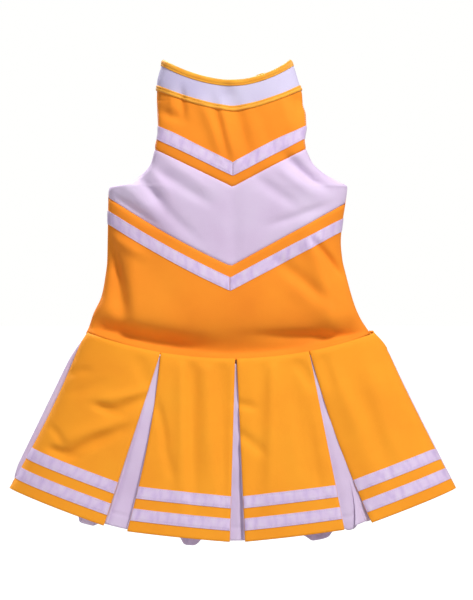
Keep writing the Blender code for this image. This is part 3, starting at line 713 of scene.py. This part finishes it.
def make_back(looks):
    lower, upper = raised(waist, 0.6 * MM), raised(collar_base, -0.2 * MM)
    edge = float(q_of(np.array(ZIP_GAP / COLLAR_HALF)))
    for name, q_from, q_to in (("back_panel_left", -1, -edge), ("back_panel_right", edge, 1)):
        bodice_piece(
            name, looks["bodice"], "orange_knit", BACK, lower, upper, q_from, q_to, (64, 130),
            dip=(0.2 * MM, 1 * MM),
        )
    lines = []
    for hand in (-1, 1):
        z = np.linspace(-0.006, -0.318, 200)
        width = np.where(hand < 0, left_width(z), right_width(z))
        lines.append(bodice_place(BACK, hand * q_of(8 * MM / width), z, 0.6 * MM))
    for side in (FRONT, BACK):
        for hand in (-1, 1):
            lines.append(inset_line(side, hand, 6.5 * MM, 0.6 * MM))
    stitches("edge_stitching", lines[:2], looks["orange_thread"], "dress")
    stitches("armhole_stitching", lines[2:], looks["thread"], "dress", radius=0.2 * MM)


def make_facings(looks):
    middle, half = (ARMHOLE_TOP + ARMHOLE_BOTTOM) / 2, (ARMHOLE_TOP - ARMHOLE_BOTTOM) / 2
    for name, hand in (("armhole_facing_left", -1), ("armhole_facing_right", 1)):
        angle = np.linspace(0, 2 * np.pi, 97)[None]
        v = np.linspace(0, 1, 6)[:, None]
        side = np.where(np.sin(angle) >= 0, FRONT, BACK) + 0 * v
        z = middle + (half + 1 * MM + 7.2 * MM * v) * np.cos(angle)
        q = hand * (1 - 0.32 * mix(0.1, 1, v) * np.abs(np.sin(angle)))
        places, normals = bodice_place(side, q, z, -2.8 * MM)
        mesh = cloth_mesh(name, places, normals, THIN_CLOTH)
        link(name, mesh, looks["lining"], replaces=[name])
    end = 2 - float(q_of(np.array(15 * MM / BODY_HALF)))
    turn = np.linspace(-end, end, 200)
    side = np.where(np.abs(turn) <= 1, FRONT, BACK)
    q = np.where(side == FRONT, turn, np.sign(turn) * 2 - turn)
    z = waist(q) + np.array((2.5, 6.5, 10.5))[:, None] * MM
    side, q = np.broadcast_to(side, z.shape), np.broadcast_to(q, z.shape)
    places, normals = bodice_place(side, q, z, -2.4 * MM, True)
    mesh = cloth_mesh("waist_stay_tape", places, normals, THIN_CLOTH)
    link("waist_stay_tape", mesh, looks["lining"], replaces=["waist_stay_tape"])


# The skirt


PLEAT_TOP = -0.012


def ring_q(x, ring_sizes):
    """How far round a ring x mm is."""
    return float(q_of(np.array(x * MM / (ring_sizes[0] if x < 0 else ring_sizes[1]))))


def label_of(side, index):
    return f"{'front' if side == FRONT else 'back'}_pleat_{index + 1}"


def pleat_qs(side, index):
    """A pleat's ends as places round the waist and hem rings."""
    a, b, c, d = PLEATS[side][index]
    return ring_q(a, WAIST_RING), ring_q(b, WAIST_RING), ring_q(c, HEM_RING), ring_q(d, HEM_RING)


def outward_normals(place_at, u, share, side):
    du, ds = 4e-3, 4e-3
    a = place_at(u + du, share) - place_at(u - du, share)
    b = place_at(u, np.minimum(share + ds, 1.05)) - place_at(u, share - ds)
    normal = unit(np.cross(a, b))
    here = place_at(u, share)
    facing = normal[..., 0] * here[..., 0] * 0.3 + normal[..., 1] * side
    return normal * np.where(facing < 0, -1, 1)[..., None]


def pleat_place(side, index, u, share, out):
    """Places on a pleat out metres off its surface, folds and all, and their normals."""
    wa, wb, ha, hb = pleat_qs(side, index)

    def place_at(u, share):
        base = skirt(side, mix(wa, wb, u), mix(ha, hb, u), share)
        first, last = (skirt(side, w + 0 * share, h + 0 * share, share) for w, h in ((wa, ha), (wb, hb)))
        reach = (base[..., 0] - first[..., 0]) / (last[..., 0] - first[..., 0])
        straight = mix(first[..., 2], last[..., 2], reach)
        base[..., 2] = mix(base[..., 2], straight, 0.75 * smooth_step(0.1, 0.8, share))
        bow = EDGE_BOW.get((side, index), 0.0) * MM
        base[..., 0] += bow * 4 * share * (1 - share) * (1 - np.clip(u, 0, 1)) ** 2
        outer = (1 - u if index == 0 else u) if index in (0, 3) else 0 * u
        deep = (6 if index == 0 else 9) if side == FRONT else 13
        tuck = deep * MM * np.clip(outer, 0, 1) ** 5 * np.exp(-np.maximum(share, 0) / 0.035)
        base[..., 0] += tuck if index == 0 else -tuck
        return base

    base, normal = place_at(u, share), outward_normals(place_at, u, share, side)
    folds = PLEAT_FOLDS if side == FRONT else BACK_PLEAT_FOLDS
    relief = -folded(base, folds) + 0.5 * MM * ripple(base, 0.03, 3 + index)
    relief = relief * smooth_step(0, 0.06, share) * smooth_step(1.04, 0.88, share)
    deepest = 1.8 * MM + 5 * MM * np.clip(share, 0, 1)
    relief = np.where(relief < 0, -deepest * np.tanh(-relief / deepest), relief)
    normal = normal * (0.15, 1, 1)
    edge = np.minimum(u, 1 - u)
    side_roll = -0.9 * MM * np.exp(-np.maximum(edge, 0) / 0.012)
    top_roll = -2.2 * MM * np.exp(-np.maximum(share - PLEAT_TOP, 0) / 0.012)
    return base + normal * (relief + side_roll + top_roll + out)[..., None], normal


def pleat_length(side, index, u):
    """From the waist to the hem along the cloth."""
    top, _ = pleat_place(side, index, u, 0 * u, 0.0)
    bottom, _ = pleat_place(side, index, u, 0 * u + 1, 0.0)
    return np.linalg.norm(bottom - top, axis=-1)


def make_pleat(side, index, looks):
    label = label_of(side, index)
    end = 1.0 if side == FRONT else 0.985
    across_it = np.linspace(0, 1, 53)
    u, share = np.meshgrid(across_it, np.linspace(PLEAT_TOP, end, 101))
    places, normals = pleat_place(side, index, u, share, 0.0)
    name = f"{label}_panel"
    mesh = cloth_mesh(name, places, normals, CLOTH)
    panel = link(name, mesh, looks["skirt"], None, [name])
    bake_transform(panel)
    length = pleat_length(side, index, across_it)
    lower = HEM_BAND + RIBBON + STRIPE
    lines = []
    for level, low in (("lower", HEM_BAND), ("upper", lower)):
        steps = np.linspace(0, 1, 17)[:, None]
        cross = low + RIBBON * (steps - 0.9 * np.sin(2 * np.pi * steps) / (2 * np.pi))
        u2 = across_it[None] + 0 * cross
        edge = np.minimum(cross - low, low + RIBBON - cross)
        groove = np.exp(-(((edge - SEAM_INSET) / (0.7 * MM)) ** 2))
        out = 1.1 * MM - 0.2 * MM * np.exp(-edge / (0.8 * MM)) - 0.35 * MM * groove + 0 * u2
        places, normals = pleat_place(side, index, u2, end - cross / length[None], out)
        name = f"{label}_{level}_ribbon"
        mesh = cloth_mesh(name, places, normals, TRIM)
        link(name, mesh, looks["ribbon"], label, [name])
        for inset in (SEAM_INSET, RIBBON - SEAM_INSET):
            share = end - (low + inset) / length
            lines.append(pleat_place(side, index, across_it, share, 1.3 * MM))
    stitches(f"{label}_stitching", lines, looks["thread"], label)


def insert_place(side, index, u, share, out=0.0):
    """The white cloth in the gap after pleat index. Its edges are tucked behind both pleats."""
    left, right = pleat_qs(side, index), pleat_qs(side, index + 1)
    at_waist = 9 * MM / (WAIST_RING[2] + WAIST_RING[0]) * 1.25
    at_hem = 22 * MM / (HEM_RING[2] + HEM_RING[0]) * 1.25
    wa, wb, ha, hb = left[1] - at_waist, right[0] + at_waist, left[3] - at_hem, right[2] + at_hem
    base = skirt(side, mix(wa, wb, u), mix(ha, hb, u), share)
    inward = unit(np.stack((-base[..., 0] * 0.25, -base[..., 1], 0 * share), -1))
    wave = 1.2 * MM * np.sin(9 * share + 3 * u + index) * share + 0.9 * MM * ripple(base, 0.018, index + 7)
    hidden = 4 * MM * smooth_step(0.34, 0.08, np.minimum(u, 1 - u)) * smooth_step(0.02, 0.15, share)
    depth = mix(3.2 * MM, 9 * MM, share) + wave * smooth_step(0.05, 0.3, share) + hidden
    return base + inward * (depth - out)[..., None]


def side_insert_place(hand, u, share):
    """The white cloth that joins a front and a back pleat round a side. Its middle shows on the left."""
    turn = 2 * u - 1
    q = hand * (1 - 0.4 * np.abs(turn))
    front, back = (skirt(side, q, q, share, (0, 0)) for side in (FRONT, BACK))
    base = np.where((turn < 0)[..., None], front, back)
    base[..., 1] *= 0.45
    if hand < 0:
        outline = mix(-184 * MM, -277 * MM, share)
        outline -= 3.6 * MM * smooth_step(0.0, 0.2, share) * smooth_step(0.98, 0.84, share)
        outline += 6 * MM * np.exp(-share / 0.035) + 5 * MM * smooth_step(0.92, 1, share)
    else:
        edge, _ = pleat_place(FRONT, 3, 1.0 + 0 * share, share, 0.0)
        outline = edge[..., 0] - 2.5 * MM
    middle = np.maximum(0, 1 - (turn / 0.45) ** 2) ** 0.7
    base[..., 0] = mix(base[..., 0] - hand * (5 * MM + 9 * MM * np.exp(-share / 0.06)), outline, middle)
    return base


def normals_of_grid(places, side):
    a, b = np.gradient(places, axis=1), np.gradient(places, axis=0)
    normal = unit(np.cross(a, b))
    if np.sum(normal[..., 0] * places[..., 0] * 0.3 + normal[..., 1] * side) < 0:
        normal = -normal
    return normal


def make_inserts(looks):
    for side, label in ((FRONT, "front"), (BACK, "back")):
        for index in range(3):
            u, down = np.meshgrid(np.linspace(0, 1, 61), np.linspace(0, 1, 97))
            end = 0.995 if side == FRONT else 1.025
            start = -0.015 if (side, index) == (BACK, 1) else 0.02
            share = mix(start, end, down)
            x = insert_place(side, index, u, 0 * u + end)[..., 0]
            for at, half, drop in HEM_DROPS[side]:
                share = share + drop * np.exp(-(((x / MM - at) / half) ** 4)) * down**3
            hem_line = 0.8 * MM * np.exp(-(((1 - down) * 0.215 - 15 * MM) / (1.2 * MM)) ** 2)
            crumple = 2.5 * MM * smooth_step(0.9, 1, down) * np.sin(x * 330) * (side == BACK)
            places = insert_place(side, index, u, share, crumple - hem_line)
            name = f"{label}_insert_{index + 1}"
            mesh = cloth_mesh(name, places, normals_of_grid(places, side), CLOTH)
            link(name, mesh, looks["white"], replaces=[name])
    for name, hand in (("side_insert_left", -1), ("side_insert_right", 1)):
        u, share = np.meshgrid(np.linspace(0, 1, 61), np.linspace(0.02, 0.985, 97))
        places = side_insert_place(hand, u, share)
        mesh = cloth_mesh(name, places, normals_of_grid(places, 0), CLOTH)
        link(name, mesh, looks["white"], replaces=[name])


def make_underlays(looks):
    """The hidden folds from each pleat's side edges back to the inserts.

    Only the last front pleat shows one, as a narrow strip that widens towards the hem.
    """
    for side, end in ((FRONT, 0.985), (BACK, 0.97)):
        for index in range(4):
            for hand, at in (("left", 0.0), ("right", 1.0)):
                share = np.linspace(0.02, end, 97)
                shown = (side, index, hand) == (FRONT, 3, "left")
                peek = 0.004 + (0.07 * share**6 if shown else 0.007 * share)
                under = -1.1 * MM - 2 * MM * smooth_step(0.2, 0.08, share)
                edge, normal = pleat_place(side, index, at + (2 * at - 1) * peek + 0 * share, share, under)
                if (index, hand) in ((0, "left"), (3, "right")):
                    outer = -1 if hand == "left" else 1
                    u = 0.0 if side == FRONT else 1.0
                    behind = side_insert_place(outer, u + 0 * share, share)
                else:
                    other = index - 1 if hand == "left" else index
                    behind = insert_place(side, other, 1 - at + 0 * share, share)
                w = np.linspace(0, 1, 9)[None, :, None]
                places = edge[:, None] * (1 - w) + behind[:, None] * w
                places -= normal[:, None] * (3.0 * MM * np.sin(np.pi * w))
                name = f"{label_of(side, index)}_underlay_{hand}"
                mesh = cloth_mesh(name, places, normals_of_grid(places, side), THIN_CLOTH)
                piece = link(name, mesh, looks["white"], None)
                along = unit(edge[-1] - edge[0])
                row = 60
                gap = edge[row] - behind[row]
                gap -= along * np.dot(gap, along)
                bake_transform(piece)


# The zip


def make_zip(looks):
    """Coils of wound loops in place of the plain bars, and looks for the CAD's own pieces."""
    for hand_name, hand in (("left", -1), ("right", 1)):
        low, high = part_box(f"zip_coil_{hand_name}")
        pitch, wire = 1.3 * MM, 0.26 * MM
        count = int((high[2] - low[2] - 0.8 * MM) / pitch)
        centre = np.array(((low[0] + high[0]) / 2, (low[1] + high[1]) / 2))
        sizes = np.array(((high[0] - low[0]) / 2, (high[1] - low[1]) / 2))
        steps = count * 10
        t = np.arange(steps + 1) / 10 * 2 * np.pi
        spine = np.stack(
            (
                centre[0] + (sizes[0] - 0.3 * MM) * np.cos(t) * hand,
                centre[1] + (sizes[1] - 0.3 * MM) * np.sin(t),
                high[2] - 0.4 * MM - pitch * t / (2 * np.pi),
            ),
            -1,
        )
        curve = bpy.data.curves.new(f"zip_coil_{hand_name}_wound", "CURVE")
        curve.dimensions = "3D"
        curve.bevel_depth = wire
        curve.bevel_resolution = 0
        curve.use_fill_caps = True
        line = curve.splines.new("POLY")
        line.points.add(len(spine) - 1)
        line.points.foreach_set("co", np.concatenate((spine, np.ones((len(spine), 1))), 1).ravel())
        obj = add_object(f"zip_coil_{hand_name}_wound", curve)
        curve.materials.append(looks["nylon"])
        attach(obj, "dress")
        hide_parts(f"zip_coil_{hand_name}")
    shown = {
        "tape": ("zip_tape_left", "zip_tape_right"),
        "metal": (
            "zip_top_stop_left", "zip_top_stop_right", "zip_bottom_stop", "zip_slider_body", "zip_pull_tab",
            "neck_hook", "neck_eye",
        ),
    }
    for look, names in shown.items():
        for name in names:
            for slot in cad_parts[name].material_slots:
                slot.material = looks[look]


# Floor, light and camera


ROOM_LIGHT, FLOOR_Z, KEY_POWER, FILL_POWER, BACK_POWER = 0.27, -0.78, 68, 4.5, 74


def make_stage():
    """A pale floor and room. The camera sees both as white, and the dress gets a dimmer light from them."""
    floor_look, node, links, shader = material("pale_floor", (0.45, 0.45, 0.45), 0.9)
    grain = noise(node, scaled(node, "Object", (3, 3, 3)), 2.0)
    varied_colour(node, links, shader, ((0.43, 0.43, 0.43), (0.47, 0.47, 0.47)), grain)
    seen = node("ShaderNodeLightPath")
    shader.inputs["Emission Color"].default_value = (1, 1, 0.99, 1)
    links.new(seen.outputs["Is Camera Ray"], shader.inputs["Emission Strength"])
    size, z = 60.0, FLOOR_Z
    corners = np.array([(-size, -size, z), (size, -size, z), (size, size, z), (-size, size, z)])
    floor = link("floor", make_mesh("floor", corners, np.array([(0, 1, 2, 3)])), floor_look, None)
    world = bpy.data.worlds.new("studio")
    bpy.context.scene.world = world
    world.use_nodes = True
    nodes, links = world.node_tree.nodes, world.node_tree.links
    background = nodes["Background"]
    background.inputs["Color"].default_value = (1, 1, 0.99, 1)
    seen = nodes.new("ShaderNodeLightPath")
    strength = nodes.new("ShaderNodeMath")
    strength.operation = "MULTIPLY_ADD"
    strength.inputs[1].default_value = 1 - ROOM_LIGHT
    strength.inputs[2].default_value = ROOM_LIGHT
    links.new(seen.outputs["Is Camera Ray"], strength.inputs[0])
    links.new(strength.outputs[0], background.inputs["Strength"])


def area_light(name, place, target, size, power, colour=(1, 1, 1)):
    light = bpy.data.lights.new(name, "AREA")
    light.shape = "DISK"
    light.size = size
    light.energy = power
    light.color = colour
    obj = add_object(name, light)
    obj.location = place
    obj.rotation_euler = (Vector(target) - Vector(place)).to_track_quat("-Z", "Y").to_euler()


def make_lights():
    area_light("key", (0.95, -1.4, 1.7), (0, 0, -0.25), 0.45, KEY_POWER, (1, 0.985, 0.96))
    area_light("low_fill", (-1.5, -1.25, -0.5), (0, 0, -0.35), 0.4, FILL_POWER)
    area_light("back_key", (-0.95, 1.4, 1.7), (0, 0, -0.25), 0.45, BACK_POWER)


def make_camera():
    camera = bpy.data.cameras.new("camera")
    sensor = 36
    camera.sensor_width = sensor
    camera.lens = sensor * EYE_DISTANCE / VIEW_HEIGHT
    obj = add_object("camera", camera)
    obj.location = (EYE_SIDE, -EYE_DISTANCE, EYE_HEIGHT)
    obj.rotation_euler = (math.pi / 2, 0, 0)
    bpy.context.scene.camera = obj


# The cloth, as it was cut


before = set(bpy.data.objects)
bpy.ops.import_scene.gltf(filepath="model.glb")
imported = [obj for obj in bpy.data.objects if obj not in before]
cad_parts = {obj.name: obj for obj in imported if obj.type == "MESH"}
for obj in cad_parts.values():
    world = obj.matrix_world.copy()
    obj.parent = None
    obj.data.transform(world)
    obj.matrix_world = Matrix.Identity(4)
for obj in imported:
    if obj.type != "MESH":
        bpy.data.objects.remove(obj)
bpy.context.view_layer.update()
bpy.context.scene.view_settings.view_transform = "Standard"
looks = make_looks()
make_collar(looks)
make_front(looks)
make_chevron_ribbons(looks)
make_back(looks)
make_facings(looks)
for skirt_side in (FRONT, BACK):
    for pleat in range(4):
        make_pleat(skirt_side, pleat, looks)
make_inserts(looks)
make_underlays(looks)
make_zip(looks)
make_stage()
make_lights()
make_camera()
